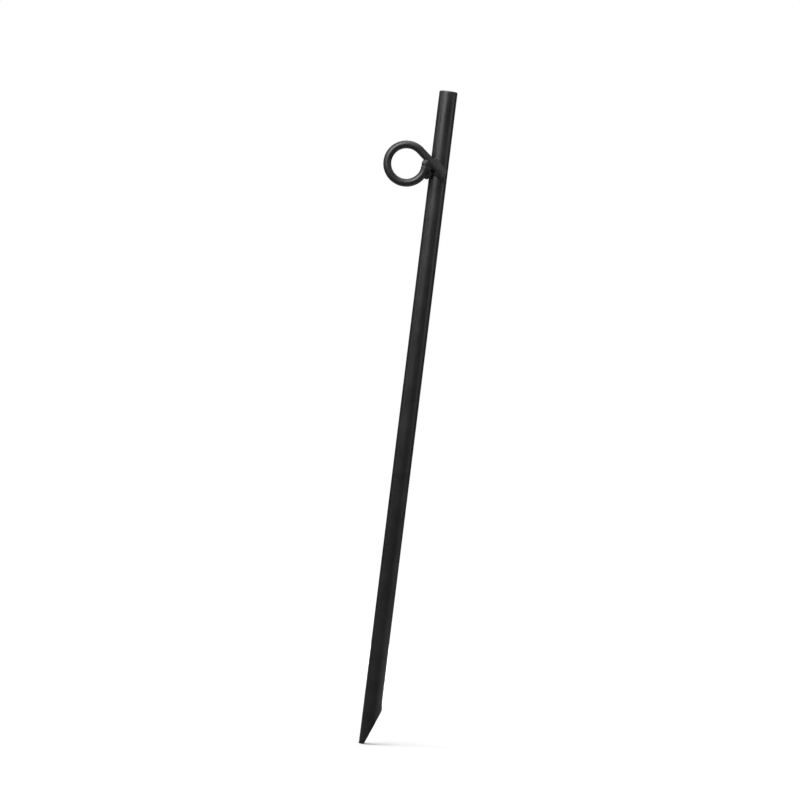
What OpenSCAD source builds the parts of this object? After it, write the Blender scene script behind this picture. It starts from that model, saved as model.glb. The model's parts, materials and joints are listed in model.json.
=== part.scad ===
// Steel ground stake: a round bar with a sheared point, and a bent wire eye welded across its front.
// Z runs up the bar's axis from the tip, the eye stands out along -X, and the bar's front is -Y.
// Millimetres.

/* [Bar] */
// Diameter of the round bar
bar_d = 12.7; // [11:0.1:15]
// Length of the bar, from the tip to the driving face
bar_length = 457.2; // [300:0.1:600]
// Radius worn onto the edge of the driving face
driving_edge_r = 1; // [0.5:0.1:2]

/* [Point] */
// Angle between the sheared face and the bar's axis
point_angle = 22; // [18:1:35]
// Width of the blunt nose that the shear leaves
nose_w = 3.5; // [3:0.1:5]
// Radius on the edges of the nose
nose_edge_r = 0.8; // [0.4:0.1:1]

/* [Eye] */
// Diameter of the eye's wire
wire_d = 5.6; // [5:0.1:6.5]
// Radius that the wire's centre line is bent to
eye_bend_r = 13.3; // [12.5:0.1:13.5]
// Distance from the driving face down to the centre of the eye
eye_drop = 53.8; // [40:0.1:100]
// Distance from the bar's axis out to the centre of the eye
eye_reach = 22.9; // [22.8:0.1:24]
// Angle that the wire's straight tail falls at, from the horizontal
tail_fall = 40; // [38:1:42]
// Distance that the tail runs on past the bar's axis
tail_overrun = 4; // [3:0.1:5]
// Depth that the tail is fused into the bar
tail_fusion = 0.3; // [0.1:0.1:0.5]

/* [Welds] */
// Radius of the two beads that run along the tail
toe_bead_r = 1.6; // [1.5:0.1:1.7]
// Radius of the drops that those beads start and stop with
toe_end_r = 1.9; // [1.8:0.1:2.1]
// Radius of the fat bead between the eye and the bar
corner_bead_r = 2.9; // [2.8:0.1:3]
// Radius of the bead that closes the eye
closing_bead_r = 2.5; // [2:0.1:2.6]

/* [Hidden] */
$fn = 96;

bar_r = bar_d / 2;
wire_r = wire_d / 2;

// Where the sheared face meets the flat end, and how far up the bar the shear reaches
nose_x = nose_w - bar_r;
point_length = (bar_d - nose_w) / tan(point_angle);

// The eye's centre, in the plane that lays its tail against the bar's front
eye_y = tail_fusion - bar_r - wire_r;
eye_z = bar_length - eye_drop;

// The loop leaves its tail at this angle, counted from +X towards +Z
tail_angle = 90 - tail_fall;
tail_run = eye_reach - eye_bend_r * cos(tail_angle);
tail_length = (tail_run + tail_overrun) / cos(tail_fall);

// Height at which the tail's centre line crosses the bar's axis
crossing_z = eye_z + eye_bend_r * sin(tail_angle) - tail_run * tan(tail_fall);

// The beads beside the tail follow an arc that hugs the bar's slanting section. toe_offset is their
// distance from the tail's centre line, and toe_lift is how far their centres stand off the bar
toe_offset = 2.6;
toe_lift = 0.9;
toe_arc_r = bar_r / pow(cos(tail_fall), 2) + toe_lift;
toe_arc_y = toe_arc_r - bar_r - toe_lift;

// Distances from the bar's axis, along X, at which those beads start and stop
upper_start_x = -3.4;
lower_start_x = -1.5;
toe_stop_x = 4;

// The drops in the corner: how far each stands off the bar's flank, ahead of the bar's front line
// and below the eye's centre
fat_drop = [-0.25, 0.15, -4.4];
small_drop = [-1.7, -0.2, -6.9];
small_drop_scale = 0.8;

// How far round from the wire's end the closing bead sits, in degrees
closing_angle = 7;

steel_black = [0.17, 0.17, 0.18];
weld_black = [0.13, 0.13, 0.14];

// Draws a flat outline in the XZ plane, as a slab that passes right through the bar
module through_bar() {
    rotate([90, 0, 0])
        linear_extrude(height = 2 * bar_d, center = true) children();
}

module bar_blank() {
    rotate_extrude() {
        translate([0, nose_edge_r]) square([bar_r, bar_length - nose_edge_r - driving_edge_r]);
        square([bar_r - nose_edge_r, bar_length]);
        translate([bar_r - nose_edge_r, nose_edge_r]) circle(nose_edge_r);
        translate([0, bar_length - bar_r]) square([bar_r - driving_edge_r, bar_r]);
        translate([bar_r - driving_edge_r, bar_length - driving_edge_r]) circle(driving_edge_r);
    }
}

// The metal that the shear takes away, with a rounded edge left on the nose
module sheared_off() {
    along_face = [sin(point_angle), cos(point_angle)];
    corner_angle = 90 + point_angle;
    edge_run = nose_edge_r / tan(corner_angle / 2);
    corner = [nose_x, 0];
    round_centre = [nose_x - edge_run, nose_edge_r];
    top = corner + along_face * (point_length / cos(point_angle) + bar_d);
    difference() {
        polygon([
            corner + along_face * edge_run,
            round_centre,
            [nose_x - edge_run, 0],
            [nose_x - edge_run, -bar_r],
            [top[0], -bar_r],
            top
        ]);
        translate(round_centre) circle(nose_edge_r);
    }
}

// The wire before welding: the loop, and the straight tail that leaves it at a tangent
module bent_wire() {
    translate([-eye_reach, eye_y, eye_z]) rotate([90, 0, 0]) rotate([0, 0, tail_angle]) {
        rotate_extrude(angle = 360 - tail_angle) translate([eye_bend_r, 0]) circle(wire_r);
        translate([eye_bend_r, 0, 0]) rotate([90, 0, 0]) cylinder(h = tail_length, r = wire_r);
    }
}

module bar_round() {
    cylinder(h = bar_length, r = bar_r);
}

// Weld metal fills only the space that the bar and the wire leave
module weld_metal() {
    color(weld_black) difference() {
        children();
        bar_round();
        bent_wire();
    }
}

// A bead beside the tail, over the bar's front, between two distances from the bar's axis along X
module toe_bead(offset, from_x, to_x) {
    from_angle = asin(from_x / cos(tail_fall) / toe_arc_r);
    to_angle = asin(to_x / cos(tail_fall) / toe_arc_r);
    translate([0, 0, crossing_z]) rotate([0, tail_fall, 0])
        translate([-offset * tan(tail_fall), toe_arc_y, offset]) {
            rotate([0, 0, from_angle - 90]) rotate_extrude(angle = to_angle - from_angle)
                translate([toe_arc_r, 0]) circle(toe_bead_r);
            for (angle = [from_angle, to_angle])
                rotate([0, 0, angle]) translate([0, -toe_arc_r, 0]) sphere(toe_end_r);
        }
}

module stake_rod() {
    color(steel_black) difference() {
        bar_blank();
        through_bar() sheared_off();
    }
}

module eye_ring() {
    color(steel_black) difference() {
        bent_wire();
        bar_round();
    }
}

module upper_weld() {
    weld_metal() toe_bead(toe_offset, upper_start_x, toe_stop_x);
}

module lower_weld() {
    weld_metal() toe_bead(-toe_offset, lower_start_x, toe_stop_x);
}

// A fat drop in the corner between the eye and the bar, and a smaller one that runs down the eye
module corner_weld() {
    corner = [-bar_r, -bar_r, eye_z];
    weld_metal() {
        translate(corner + fat_drop) sphere(corner_bead_r);
        translate(corner + small_drop) sphere(corner_bead_r * small_drop_scale);
    }
}

// The loop's wire stops level with the eye's centre, and this drop fills the wedge up to the tail
module closing_weld() {
    weld_metal() translate([-eye_reach, eye_y, eye_z]) rotate([0, -closing_angle, 0])
        translate([eye_bend_r, 0, 0]) sphere(closing_bead_r);
}

stake_rod();
eye_ring();
upper_weld();
lower_weld();
corner_weld();
closing_weld();
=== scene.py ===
# Steel ground stake: a round bar with a sheared point, and a bent wire eye welded across its front.
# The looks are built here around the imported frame. Shapes are worked out in millimetres, along the
# frame's own axes: Z runs up the bar from the tip, the eye stands out along -X, the front is -Y.
import json
import math

import bpy
import numpy as np
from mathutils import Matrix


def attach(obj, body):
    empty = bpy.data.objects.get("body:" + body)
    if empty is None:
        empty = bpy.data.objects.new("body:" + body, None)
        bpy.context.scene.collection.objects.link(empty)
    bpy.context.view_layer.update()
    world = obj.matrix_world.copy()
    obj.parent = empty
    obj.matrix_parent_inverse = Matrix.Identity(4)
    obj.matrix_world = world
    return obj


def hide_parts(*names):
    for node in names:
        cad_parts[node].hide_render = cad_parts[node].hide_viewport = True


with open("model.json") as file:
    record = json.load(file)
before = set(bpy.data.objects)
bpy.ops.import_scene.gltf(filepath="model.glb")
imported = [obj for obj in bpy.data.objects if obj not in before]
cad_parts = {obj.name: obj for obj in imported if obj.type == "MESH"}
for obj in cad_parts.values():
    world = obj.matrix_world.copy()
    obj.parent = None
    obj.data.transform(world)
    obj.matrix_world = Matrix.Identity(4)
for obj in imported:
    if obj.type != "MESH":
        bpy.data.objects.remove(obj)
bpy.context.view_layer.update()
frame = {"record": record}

import openvdb
from mathutils import Matrix, Vector

MM = 0.001  # metres in a millimetre
mounts = {mount["name"]: mount for mount in frame["record"]["mounts"]}

# The bar
BAR_R = mounts["ground_shank"]["dims"]["r_mm"]
BAR_LENGTH = mounts["driving_face"]["pos_m"][2] / MM
POINT_ANGLE = math.radians(22)  # between the sheared face and the bar's axis
NOSE_X = 3.5 - BAR_R  # where the sheared face meets the blunt nose
HEEL_Z = (BAR_R - NOSE_X) / math.tan(POINT_ANGLE)  # where the sheared face leaves the bar
NOSE_EDGE_R = 0.8
DRIVING_EDGE_R = 1.0
SHEAR_EDGE_R = 0.35
DOMING = 0.12  # how far the middle of the driving face stands over its edge
SWELLING = 0.55  # how far the metal stands out at the heel
SWELLING_LENGTH = 8  # along the bar, each way
SWELLING_SPREAD = 1.1  # round the bar, each way, in radians
GROOVE_DEPTH = 0.03  # of the marks that run along the sheared face
STEP_DEPTH = 0.045  # of the marks that run across it

# The wire of the eye, whose centre line lies in one plane, y = EYE[1]
EYE = np.array(mounts["guy_eye"]["pos_m"]) / MM
WIRE_R = mounts["guy_eye"]["dims"]["length_mm"] / 2
BEND_R = mounts["guy_eye"]["dims"]["r_mm"] + WIRE_R
TAIL_FALL = math.radians(40)  # below the horizontal
TAIL_OVERRUN = 4.0  # past the bar's axis, along X
WIRE_TRIM_R = 0.55  # on the edge of each cut end
LOOP_START = math.pi / 2 - TAIL_FALL  # angle, from +X towards +Z, where the loop leaves the tail
LOOP_END = math.radians(356)
TAIL_LEFT = EYE[0] + BEND_R * math.cos(LOOP_START)
TAIL_TOP = EYE[2] + BEND_R * math.sin(LOOP_START)
TAIL_LENGTH = (TAIL_OVERRUN - TAIL_LEFT) / math.cos(TAIL_FALL)
CROSSING_Z = TAIL_TOP + TAIL_LEFT * math.tan(TAIL_FALL)

# The welds
TOE_R = 1.6
TOE_END_R = 1.9  # of the drops that a bead beside the tail starts and stops with
TOE_OFFSET = 2.6  # from the tail's centre line
TOE_LIFT = 0.9  # of the bead's centre line off the bar
UPPER_START_X = -3.4
LOWER_START_X = -1.5
TOE_STOP_X = 4
RIPPLE_PITCH = 1.0
RIPPLE_DEPTH = 0.13
LUMP_HEIGHT = 0.1
WELD_GRID = 0.14  # step of the grid that the welds are meshed on
FILLET = 0.9
UNDERCUT = 0.03  # how far a weld's skin dives under the metal that it joins
ROOT_DEPTH = 0.35  # how deep a weld runs into that metal
PROUD_HEIGHT = 0.7  # height off that metal at which a weld takes its full darkening, a painted shade

# Colours
# Painted shade: the near-black that weld beads are darkened towards, standing in for the shade in the
# crevices round them
WELD_PAINTED_SHADE = (0.005, 0.005, 0.0055, 1)
SCUFFED_COAT = (0.07, 0.069, 0.067, 1)
BARE_STEEL = (0.12, 0.116, 0.11, 1)


# ---------------------------------------------------------------- solids as signed distances

def rounded_both(first, second, radius):
    """Distance to the overlap of two solids, with a rounded edge where their surfaces meet."""
    corner = np.hypot(np.maximum(first + radius, 0), np.maximum(second + radius, 0))
    return np.minimum(np.maximum(first, second), -radius) + corner


def blended(first, second, width):
    """Distance to two solids joined by a fillet of about that width."""
    share = np.clip(0.5 + 0.5 * (second - first) / width, 0, 1)
    return second + (first - second) * share - width * share * (1 - share)


def bump(value, centre, width):
    """A smooth hump, 1 at the centre and 0 from one width away."""
    return np.cos(np.clip((value - centre) / width, -1, 1) * math.pi / 2) ** 2


def off_wall(point):
    """Distance outside the bar's round wall."""
    return np.hypot(point[..., 0], point[..., 1]) - BAR_R


def off_shear(x, z):
    """Distance outside the plane of the sheared face."""
    return (x - NOSE_X) * math.cos(POINT_ANGLE) - z * math.sin(POINT_ANGLE)


def shear_marks(y, z):
    """Height of the marks that the blade tore in the sheared face, deeper near the nose."""
    torn = 0.35 + 0.65 * np.clip(1.2 - z / 18, 0, 1)
    grooves = np.sin(4.1 * y + 0.5 * np.sin(0.31 * z))
    grooves += 0.7 * np.sin(6.7 * y + 1.3 + 0.8 * np.sin(0.23 * z))
    steps = np.sin(0.83 * z + 0.6 * np.sin(0.9 * y)) + 0.6 * np.sin(1.37 * z + 0.7 * y)
    return torn * (GROOVE_DEPTH * grooves + STEP_DEPTH * steps)


def bar_field(point):
    """The sheared bar, with the metal that the shear pushed out at the point's heel."""
    x, y, z = point[..., 0], point[..., 1], point[..., 2]
    side = np.arctan2(y, x)
    swelling = SWELLING * bump(z, HEEL_Z + 0.5, SWELLING_LENGTH) * bump(side, 0, SWELLING_SPREAD)
    shear = off_shear(x, z) + shear_marks(y, z)
    dome = DOMING * (1 - (x * x + y * y) / BAR_R ** 2)
    body = rounded_both(off_wall(point) - swelling, z - BAR_LENGTH - dome, DRIVING_EDGE_R)
    return rounded_both(body, rounded_both(shear, -z, NOSE_EDGE_R), SHEAR_EDGE_R)


def wire_field(point):
    """The bent wire: the open loop, and the straight tail that leaves it at a tangent."""
    x, y, z = point[..., 0] - EYE[0], point[..., 1] - EYE[1], point[..., 2] - EYE[2]
    middle = (LOOP_START + LOOP_END) / 2
    turn = np.arctan2(z, x) - middle
    turn = np.abs((turn + math.pi) % (2 * math.pi) - math.pi)
    past_end = (turn - (LOOP_END - LOOP_START) / 2) * BEND_R
    loop = rounded_both(np.hypot(np.hypot(x, z) - BEND_R, y) - WIRE_R, past_end, WIRE_TRIM_R)
    right, up = point[..., 0] - TAIL_LEFT, point[..., 2] - TAIL_TOP
    along = right * math.cos(TAIL_FALL) - up * math.sin(TAIL_FALL)
    across = right * math.sin(TAIL_FALL) + up * math.cos(TAIL_FALL)
    ends = np.maximum(-along - WIRE_R, along - TAIL_LENGTH)
    tail = rounded_both(np.hypot(across, y) - WIRE_R, ends, WIRE_TRIM_R)
    return np.minimum(loop, tail)


def bead_field(point, path):
    """A lumpy weld bead along a path of (x, y, z, radius), with crescent ripples across its run."""
    nearest = np.full(point.shape[:-1], np.inf)
    ripple = np.zeros_like(nearest)
    run = 0.0
    for start, end in zip(path[:-1], path[1:]):
        step = end[:3] - start[:3]
        length = np.linalg.norm(step)
        direction = step / length
        side = np.cross(direction, (0, 1, 0))
        side /= np.linalg.norm(side)
        offset = point - start[:3]
        share = np.clip(offset @ direction / length, 0, 1)
        radius = start[3] + (end[3] - start[3]) * share
        away = np.linalg.norm(offset - share[..., None] * step, axis=-1) - radius
        crescent = run + share * length + 0.5 * (offset @ side) ** 2 / radius
        closer = away < nearest
        nearest = np.where(closer, away, nearest)
        ripple = np.where(closer, crescent, ripple)
        run += length
    x, y, z = point[..., 0], point[..., 1], point[..., 2]
    lumps = np.sin(1.7 * x + 2.1 * np.sin(0.9 * z)) * np.sin(1.3 * y + 1.9 * z)
    ripples = 1 - np.abs(np.sin(math.pi * ripple / RIPPLE_PITCH)) ** 0.7
    return nearest + RIPPLE_DEPTH * ripples + LUMP_HEIGHT * lumps


def weld_field(point, path):
    """A bead that flows into the bar and the wire, and runs a little way into both."""
    bead, bar, wire = bead_field(point, path), off_wall(point), wire_field(point)
    skin = blended(blended(bead, bar, FILLET), wire, FILLET) + UNDERCUT
    near = np.maximum(skin, bead - FILLET)
    return np.maximum(near, np.maximum(-bar, -wire) - ROOT_DEPTH)


# ---------------------------------------------------------------- meshes

def settle(points, field, rounds=4):
    """Moves points straight onto the surface where the field is zero."""
    reach = 0.01
    least_slope = 0.5
    for _ in range(rounds):
        value = field(points)
        slope = np.stack([
            field(points + reach * axis) - field(points - reach * axis) for axis in np.eye(3)
        ], -1) / (2 * reach)
        steepness = np.maximum((slope ** 2).sum(-1), least_slope ** 2)
        points = points - slope * (value / steepness)[:, None]
    return points


def turns(count):
    """Evenly spaced angles round a full turn."""
    return np.linspace(0, 2 * math.pi, count, endpoint=False)


def tube_faces(rows, around):
    """Quads between rows of points that go round, and a fan on the one point at each end."""
    faces = []
    for row in range(rows - 1):
        for column in range(around):
            here, beside = row * around + column, row * around + (column + 1) % around
            faces.append((here, beside, beside + around, here + around))
    first, last = rows * around, rows * around + 1
    top = (rows - 1) * around
    for column in range(around):
        beside = (column + 1) % around
        faces.append((first, beside, column))
        faces.append((last, top + column, top + beside))
    return faces


def show(name, points, faces, node, slot, material, **attributes):
    """Makes a smooth mesh piece that stands for a CAD node."""
    mesh = bpy.data.meshes.new(name)
    mesh.from_pydata((points * MM).tolist(), [], faces)
    for key, values in attributes.items():
        kind, field = ("FLOAT", "value") if values.ndim == 1 else ("FLOAT_VECTOR", "vector")
        made = mesh.attributes.new(key, kind, "POINT")
        made.data.foreach_set(field, values.astype(np.float32).ravel())
    mesh.shade_smooth()
    mesh.materials.append(material)
    piece = bpy.data.objects.new(name, mesh)
    bpy.context.scene.collection.objects.link(piece)
    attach(piece, "root")
    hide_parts(node)


def bar_marks(points):
    """How worn each point is, whether it is on a cut face, and its place along the metal's grain."""
    x, y, z = points.T
    wall, shear, top = off_wall(points), off_shear(x, z), z - BAR_LENGTH
    # Each edge is where two distances are both 0, and it is worn over that width
    edges = [(wall, top, 0.9), (wall, shear, 0.4), (wall, z, 0.6), (shear, z, 0.6)]
    wear = np.max([np.exp(-(np.hypot(one, other) / width) ** 2) for one, other, width in edges], 0)
    on_top, on_shear = np.abs(top) < 0.35, np.abs(shear) < 0.3
    up_face = z / math.cos(POINT_ANGLE)
    grain = np.where(on_shear[:, None], np.stack([y, 0 * y, up_face], -1), points)
    grain = np.where(on_top[:, None], np.stack([x, 0 * x, y], -1), grain)
    return wear, (on_top | on_shear).astype(float), grain


def make_bar(material):
    around = 144
    shear_rows, slanted_rows, level_rows, edge_rows, top_rows = 36, 48, 214, 8, 23
    level_z = 34.0  # rows follow the slant of the sheared face, and are level from here up
    edge_z = BAR_LENGTH - 2 * DRIVING_EDGE_R
    turn = turns(around)
    cosine, sine = np.cos(turn), np.sin(turn)

    def shear_height(x):
        return np.maximum(x - NOSE_X, 0) / math.tan(POINT_ANGLE)

    def row(radius, height):
        return np.stack([radius * cosine, radius * sine, height + 0 * cosine], -1)

    shares = np.linspace(0, 1, shear_rows + 1)[1:] ** 0.8
    rows = [row(BAR_R * share, shear_height(BAR_R * share * cosine)) for share in shares]
    rim = shear_height(BAR_R * cosine)
    for share in np.linspace(0, 1, slanted_rows + 1)[1:] ** 1.3:
        rows.append(row(BAR_R, rim + (level_z - rim) * share))
    for height in np.linspace(level_z, edge_z, level_rows + 1)[1:]:
        rows.append(row(BAR_R, height))
    for height in np.linspace(edge_z, BAR_LENGTH, edge_rows + 1)[1:]:
        rows.append(row(BAR_R, height))
    for share in (np.linspace(0, 1, top_rows + 2)[1:-1] ** 0.7)[::-1]:
        rows.append(row(BAR_R * share, BAR_LENGTH))
    ends = [[0, 0, shear_height(0)], [0, 0, BAR_LENGTH]]
    points = settle(np.concatenate([*rows, ends]), bar_field)
    wear, cut, grain = bar_marks(points)
    show("bar", points, tube_faces(len(rows), around), "stake_rod", "bar_black", material,
         wear=wear, cut=cut, grain=grain)


def wire_line():
    """Points down the wire's centre line from its end in the loop, and which way is outward at each."""
    loop_rows, tail_rows = 150, 49
    loop = np.linspace(LOOP_END, LOOP_START, loop_rows)
    outwards = [np.array([math.cos(angle), 0, math.sin(angle)]) for angle in loop]
    centres = [EYE + BEND_R * outward for outward in outwards]
    bend = centres[-1]
    downhill = np.array([math.cos(TAIL_FALL), 0, -math.sin(TAIL_FALL)])
    for length in np.linspace(0, TAIL_LENGTH, tail_rows + 1)[1:]:
        centres.append(bend + downhill * length)
        outwards.append(outwards[-1])
    return centres, outwards


def make_wire(material):
    around = 56
    cap_rows = 8
    wear_width = 0.7
    turn = turns(around)
    cosine, sine = np.cos(turn)[:, None], np.sin(turn)[:, None]
    sideways = np.array([0, 1, 0])
    centres, outwards = wire_line()
    cap = np.linspace(0, 1, cap_rows + 1)[1:] ** 0.7
    rows = [(centres[0], outwards[0], WIRE_R * share) for share in cap]
    rows += [(centre, outward, WIRE_R) for centre, outward in zip(centres[1:-1], outwards[1:-1])]
    rows += [(centres[-1], outwards[-1], WIRE_R * share) for share in cap[::-1]]
    ring = [
        centre + radius * (cosine * outward - sine * sideways) for centre, outward, radius in rows
    ]
    points = np.concatenate([*ring, centres[:1], centres[-1:]])
    steps = [np.linalg.norm(after[0] - before[0]) for before, after in zip(rows, rows[1:])]
    run = np.concatenate([[0], np.cumsum(steps)])
    grain = [
        np.hstack([radius * cosine, radius * sine, along + 0 * cosine])
        for along, (_, _, radius) in zip(run, rows)
    ]
    grain = np.concatenate([*grain, [[0, 0, run[0]], [0, 0, run[-1]]]])
    from_end = np.linalg.norm(points - centres[-1], axis=-1)
    wear = 0.8 * np.exp(-((from_end - WIRE_R) / wear_width) ** 2)
    show("eye", points, tube_faces(len(rows), around), "eye_ring", "wire_black", material,
         wear=wear, grain=grain)


def toe_path(side, start_x):
    """The run of a bead in the groove between the tail and the bar, above (1) or below (-1) it."""
    x = np.linspace(start_x, TOE_STOP_X, 15)
    z = CROSSING_Z - x * math.tan(TAIL_FALL) + side * TOE_OFFSET / math.cos(TAIL_FALL)
    y = -np.sqrt(BAR_R ** 2 - x ** 2) - TOE_LIFT
    radius = np.full_like(x, TOE_R)
    radius[0] = radius[-1] = TOE_END_R
    return np.stack([x, y, z, radius], -1)


def corner_path():
    """A fat drop in the corner between the eye and the bar, and a smaller one that runs down."""
    return np.array([
        [-BAR_R - 0.25, -BAR_R + 0.15, EYE[2] - 4.4, 2.9],
        [-BAR_R - 1.7, -BAR_R - 0.2, EYE[2] - 6.9, 2.3],
    ])


def closing_path():
    """The run of a bead round the end of the loop and up to the bar."""
    def on_loop(degrees, radius, forward=0.0):
        turn = math.radians(degrees)  # from +X towards +Z
        place = EYE + BEND_R * np.array([math.cos(turn), 0, math.sin(turn)])
        return [place[0], place[1] - forward, place[2], radius]

    return np.array([
        on_loop(-26, 1.8),
        on_loop(-7, 2.65),
        on_loop(7, 2.85, 0.3),
        [-BAR_R - 1.1, EYE[1] + 0.4, EYE[2] - 0.9, 2.4],
    ])


def main_part(points, quads):
    """Drops any speck that meshing leaves beside the main surface."""
    label = np.arange(len(points))
    settled = False
    while not settled:
        lowest = label.copy()
        np.minimum.at(lowest, quads, label[quads].min(1)[:, None])
        settled = np.array_equal(lowest, label)
        label = lowest[lowest]
    kept = label == np.bincount(label).argmax()
    number = np.cumsum(kept) - 1
    return points[kept], number[quads[kept[quads[:, 0]]]]


def make_weld(name, path, node, material):
    """Meshes a weld on a fine grid, then settles the mesh onto the exact surface."""
    margin = path[:, 3].max() + 2 * FILLET
    low = path[:, :3].min(0) - margin
    high = path[:, :3].max(0) + margin
    axes = [np.arange(start, stop, WELD_GRID) for start, stop in zip(low, high)]
    lattice = np.stack(np.meshgrid(*axes, indexing="ij"), -1)
    grid = openvdb.FloatGrid()
    grid.copyFromArray(weld_field(lattice, path))
    points, quads = main_part(*grid.convertToQuads())
    points = settle(low + points * WELD_GRID, lambda place: weld_field(place, path), 2)
    height = np.minimum(off_wall(points), wire_field(points))
    proud = np.clip(height / PROUD_HEIGHT, 0, 1)
    show(name, points, quads.tolist(), node, "weld_black", material, proud=proud)


# ---------------------------------------------------------------- materials

def feed(tree, socket, value):
    """Links a socket to another, or sets it to a plain value."""
    if isinstance(value, bpy.types.NodeSocket):
        tree.links.new(value, socket)
    else:
        socket.default_value = value


def add_node(tree, kind, settings=None, **inputs):
    """Adds a shader node, with its settings and its inputs."""
    made = tree.nodes.new(kind)
    for name, value in (settings or {}).items():
        setattr(made, name, value)
    for name, value in inputs.items():
        feed(tree, made.inputs[name.replace("_", " ")], value)
    return made


def noise(tree, where, scale, detail=3.0, distortion=0.0):
    """Soft noise around 0.5, with about that many features to a unit of length."""
    made = add_node(
        tree, "ShaderNodeTexNoise", Vector=where, Scale=scale, Detail=detail, Distortion=distortion
    )
    return made.outputs["Fac"]


def remapped(tree, value, low, high, to_low=0.0, to_high=1.0):
    """A value stretched from one range to another, and held at its ends."""
    made = add_node(
        tree, "ShaderNodeMapRange", Value=value,
        From_Min=low, From_Max=high, To_Min=to_low, To_Max=to_high,
    )
    return made.outputs["Result"]


def math_node(tree, operation, first, second):
    made = add_node(tree, "ShaderNodeMath", {"operation": operation})
    feed(tree, made.inputs[0], first)
    feed(tree, made.inputs[1], second)
    return made.outputs["Value"]


def mixed(tree, share, first, second):
    """A colour between two colours."""
    made = add_node(tree, "ShaderNodeMix", {"data_type": "RGBA"})
    sockets = {socket.identifier: socket for socket in made.inputs}
    feed(tree, sockets["Factor_Float"], share)
    feed(tree, sockets["A_Color"], first)
    feed(tree, sockets["B_Color"], second)
    return next(socket for socket in made.outputs if socket.identifier == "Result_Color")


def stretched(tree, where, factors):
    """Coordinates scaled by a factor along each axis."""
    return add_node(tree, "ShaderNodeMapping", Vector=where, Scale=factors).outputs["Vector"]


def object_place(tree):
    """Coordinates along the object's own axes, in metres."""
    return add_node(tree, "ShaderNodeTexCoord").outputs["Object"]


def attribute(tree, name, output="Fac"):
    """A value that a mesh carries at each of its points, or 0 if it has none."""
    return add_node(tree, "ShaderNodeAttribute", {"attribute_name": name}).outputs[output]


def scratches(tree, where, turn, shift):
    """Short thin scuffs that all run one way."""
    made = add_node(
        tree, "ShaderNodeMapping", {"vector_type": "TEXTURE"}, Vector=where,
        Location=(shift, shift, shift), Rotation=turn, Scale=(0.22, 0.22, 5.0),
    )
    return remapped(tree, noise(tree, made.outputs["Vector"], 1.0, 2.0), 0.66, 0.74)


def new_material(name):
    """A material, its node tree, and the inputs of its shader."""
    material = bpy.data.materials.new(name)
    material.use_nodes = True
    tree = material.node_tree
    return material, tree, tree.nodes["Principled BSDF"].inputs


def coated_steel(name, dark, light, gloss, grit):
    """Satin black coating over steel: mottled, scuffed, and worn down to the steel along its edges."""
    material, tree, shader = new_material(name)
    where = stretched(tree, object_place(tree), (1 / MM,) * 3)
    along_grain = stretched(tree, attribute(tree, "grain", "Vector"), (1.6, 1.6, 0.04))
    cut = attribute(tree, "cut")

    def times(first, second):
        return math_node(tree, "MULTIPLY", first, second)

    def plus(first, second):
        return math_node(tree, "ADD", first, second)

    # Patterns
    mottle = remapped(tree, noise(tree, where, 0.07, 4.0, 0.4), 0.3, 0.7)
    cloud = remapped(tree, noise(tree, where, 0.8, 4.0), 0.35, 0.65)
    drawn = noise(tree, along_grain, 1.0, 4.0)
    handled = remapped(tree, noise(tree, where, 0.05, 2.0), 0.48, 0.62)
    lengthwise = scratches(tree, where, (0.25, 0.1, 0), 0.0)
    slanting = scratches(tree, where, (-0.5, 0.7, 0), 9.0)
    scuff = times(math_node(tree, "MINIMUM", plus(lengthwise, slanting), 1.0), handled)
    chips = times(noise(tree, where, 1.1, 5.0), 1.6)
    worn = remapped(tree, plus(attribute(tree, "wear"), chips), 1.62, 1.76)
    # Painted shade: weld beads darken towards near black where they stand off the metal; the same mask
    # makes them rougher
    weld_shade_and_roughness = times(attribute(tree, "proud"), plus(0.6, times(cloud, 0.4)))

    # Colour
    colour = mixed(tree, plus(times(mottle, 0.7), times(cloud, 0.3)), (*dark, 1), (*light, 1))
    # painted shade on the weld beads
    colour = mixed(tree, times(weld_shade_and_roughness, 0.6), colour, WELD_PAINTED_SHADE)
    colour = mixed(tree, times(scuff, 0.6), colour, SCUFFED_COAT)
    colour = mixed(tree, times(worn, 0.8), colour, BARE_STEEL)
    feed(tree, shader["Base Color"], colour)
    feed(tree, shader["Metallic"], times(worn, 0.85))

    # Gloss
    patchy = plus(times(mottle, 0.5), times(drawn, 0.5))
    rough = remapped(tree, patchy, 0.2, 0.8, gloss - 0.06, gloss + 0.07)
    for pattern, rise in ((cloud, 0.05 * grit), (weld_shade_and_roughness, 0.1), (cut, 0.14), (scuff, -0.06)):
        rough = plus(rough, times(pattern, rise))
    feed(tree, shader["Roughness"], rough)
    shader["Specular IOR Level"].default_value = 0.4

    # Relief
    height = plus(noise(tree, where, 0.7, 2.0), times(noise(tree, where, 3.5, 3.0), grit))
    for pattern, rise in ((drawn, plus(0.4, times(cut, 1.4))), (scuff, -0.25), (worn, -0.5)):
        height = plus(height, times(pattern, rise))
    relief = add_node(tree, "ShaderNodeBump", Height=height, Strength=0.5, Distance=0.06 * MM)
    feed(tree, shader["Normal"], relief.outputs["Normal"])
    return material


# ---------------------------------------------------------------- stage

def grey(level):
    return (level, level, level, 1)


def to_camera(tree):
    """1 for what the camera sees directly, and 0 for what lights or is mirrored by the object."""
    return add_node(tree, "ShaderNodeLightPath").outputs["Is Camera Ray"]


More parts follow.
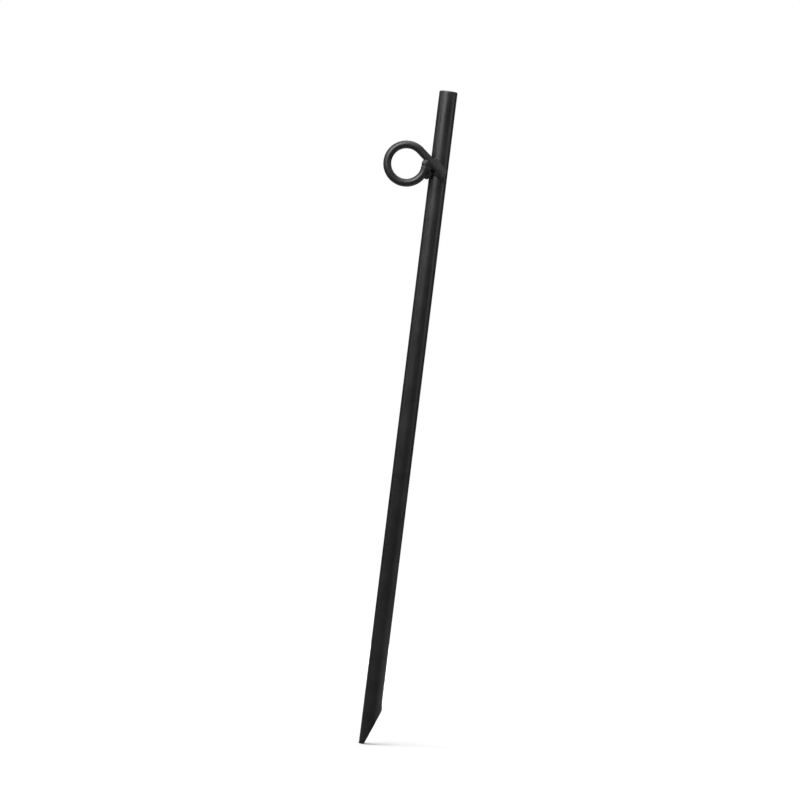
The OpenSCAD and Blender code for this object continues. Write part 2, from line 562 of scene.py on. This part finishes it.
def pale_floor():
    """A floor that looks even and pale, and throws little light up at the stake's front."""
    material, tree, shader = new_material("pale_floor")
    where = object_place(tree)
    seen = to_camera(tree)
    behind = add_node(tree, "ShaderNodeVectorMath", {"operation": "DOT_PRODUCT"}, Vector=where)
    behind.inputs[1].default_value = (0.7, 0.7, 0)
    away = add_node(tree, "ShaderNodeVectorMath", {"operation": "LENGTH"}, Vector=where)
    away = away.outputs["Value"]
    bounce = mixed(tree, remapped(tree, behind.outputs["Value"], 0.0, 0.04), grey(0.15), grey(0.7))
    bounce = mixed(tree, remapped(tree, away, 0.5, 1.2), bounce, grey(0.03))
    feed(tree, shader["Base Color"], mixed(tree, seen, bounce, grey(0.6)))
    glow = remapped(tree, away, 0.0, 1.5, 0.06, 0.8)  # makes up for the lights' fall-off
    shader["Emission Color"].default_value = grey(1)
    feed(tree, shader["Emission Strength"], math_node(tree, "MULTIPLY", seen, glow))
    shader["Roughness"].default_value = 0.9
    shader["Specular IOR Level"].default_value = 0.1
    return material


def make_floor():
    radius = 6.0
    turn = turns(96)
    points = np.stack([radius * np.cos(turn), radius * np.sin(turn), 0 * turn], -1)
    mesh = bpy.data.meshes.new("floor")
    mesh.from_pydata(points.tolist(), [], [tuple(range(len(turn)))])
    mesh.materials.append(pale_floor())
    floor = bpy.data.objects.new("floor", mesh)
    bpy.context.scene.collection.objects.link(floor)


def make_world():
    """White behind the object, and a soft grey dome that lights it."""
    world = bpy.data.worlds.new("studio")
    world.use_nodes = True
    bpy.context.scene.world = world
    tree = world.node_tree
    direction = add_node(tree, "ShaderNodeTexCoord").outputs["Generated"]
    up = add_node(tree, "ShaderNodeSeparateXYZ", Vector=direction).outputs["Z"]
    dome = mixed(tree, remapped(tree, up, 0.0, 0.9), grey(0.02), grey(0.45))
    background = tree.nodes["Background"].inputs["Color"]
    feed(tree, background, mixed(tree, to_camera(tree), dome, grey(1)))


def area_light(name, place, target, width, height, power):
    lamp = bpy.data.lights.new(name, "AREA")
    lamp.shape = "RECTANGLE"
    lamp.size, lamp.size_y = width, height
    lamp.energy = power
    light = bpy.data.objects.new(name, lamp)
    light.location = place
    light.rotation_euler = (Vector(target) - Vector(place)).to_track_quat("-Z", "Y").to_euler()
    light.visible_camera = False
    bpy.context.scene.collection.objects.link(light)


def make_lights():
    head = (0, 0, BAR_LENGTH * MM)
    middle = (0, 0, 0.25)
    area_light("key", (-0.28, -0.42, 0.72), head, 0.4, 0.45, 6.2)
    area_light("overhead", (0.0, 0.0, 1.7), (0, 0, 0), 1.2, 1.2, 15.0)
    away = 1.1
    for name, degrees, height, width, power in (
        ("left_strip", -82, 0.74, 0.3, 2.8),
        ("right_strip", 82, 0.74, 0.3, 2.8),
        ("back", 180, 0.55, 0.5, 6.0),
    ):
        turn = math.radians(degrees)  # round from the front
        place = (away * math.sin(turn), -away * math.cos(turn), height)
        area_light(name, place, middle, width, 1.0, power)


def make_camera():
    """Square to the stake's front and near the level of its middle, rolled so that it leans."""
    lean = math.radians(7.07)
    distance = 3.0
    view_height = 1.2168 * BAR_LENGTH * MM
    aim = Vector((-7.16, 0, 0.5253 * BAR_LENGTH)) * MM  # what the middle of the view looks at
    camera = bpy.data.cameras.new("camera")
    camera.sensor_width = 36
    camera.lens = camera.sensor_width * distance / view_height
    holder = bpy.data.objects.new("camera", camera)
    bpy.context.scene.collection.objects.link(holder)
    right = Vector((math.cos(lean), 0, math.sin(lean)))
    up = Vector((-math.sin(lean), 0, math.cos(lean)))
    back = Vector((0, -1, 0))
    turned = Matrix((right, up, back)).transposed().to_4x4()
    holder.matrix_world = Matrix.Translation(aim + back * distance) @ turned
    bpy.context.scene.camera = holder
    bpy.context.scene.view_settings.view_transform = "Standard"


# ---------------------------------------------------------------- the whole scene

make_camera()
make_world()
make_floor()
make_lights()

bar_coat = coated_steel("bar_coat", (0.0062, 0.0062, 0.0066), (0.014, 0.0137, 0.0133), 0.4, 0.25)
wire_coat = coated_steel("wire_coat", (0.0065, 0.0065, 0.0069), (0.013, 0.0127, 0.0123), 0.39, 0.2)
weld_coat = coated_steel("weld_coat", (0.008, 0.008, 0.0085), (0.017, 0.0166, 0.0162), 0.4, 0.5)

make_bar(bar_coat)
make_wire(wire_coat)
make_weld("upper_bead", toe_path(1, UPPER_START_X), "upper_weld", weld_coat)
make_weld("lower_bead", toe_path(-1, LOWER_START_X), "lower_weld", weld_coat)
make_weld("corner_bead", corner_path(), "corner_weld", weld_coat)
make_weld("closing_bead", closing_path(), "closing_weld", weld_coat)
